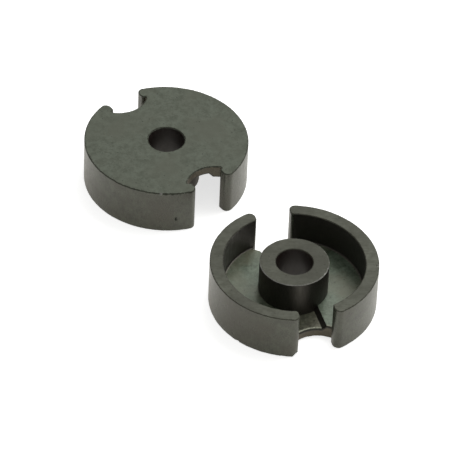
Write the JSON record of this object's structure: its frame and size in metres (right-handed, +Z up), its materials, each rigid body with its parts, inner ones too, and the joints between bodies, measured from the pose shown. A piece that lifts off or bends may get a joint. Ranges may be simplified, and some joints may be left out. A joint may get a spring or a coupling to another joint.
{
  "type": "ferrite pot core",
  "caption": "Pair of round ferrite pot core halves with hollow centre post, slotted skirt and lead notches, one lying open side up and one back face up.",
  "frame": {"origin": "on the table, midway between the axes of the two halves", "axes": "+Z up, along the axes of both halves; +Y from the open half towards the half with its back up; +X to the right seen from the open half"},
  "size_m": [0.0252, 0.0288, 0.0042],
  "materials": {
    "ferrite_face_down": "matte",
    "ferrite_face_up": "matte"
  },
  "bodies": {
    "root": {"face_down_half": "ferrite_face_down", "face_up_half": "ferrite_face_up"}
  },
  "joints": []
}
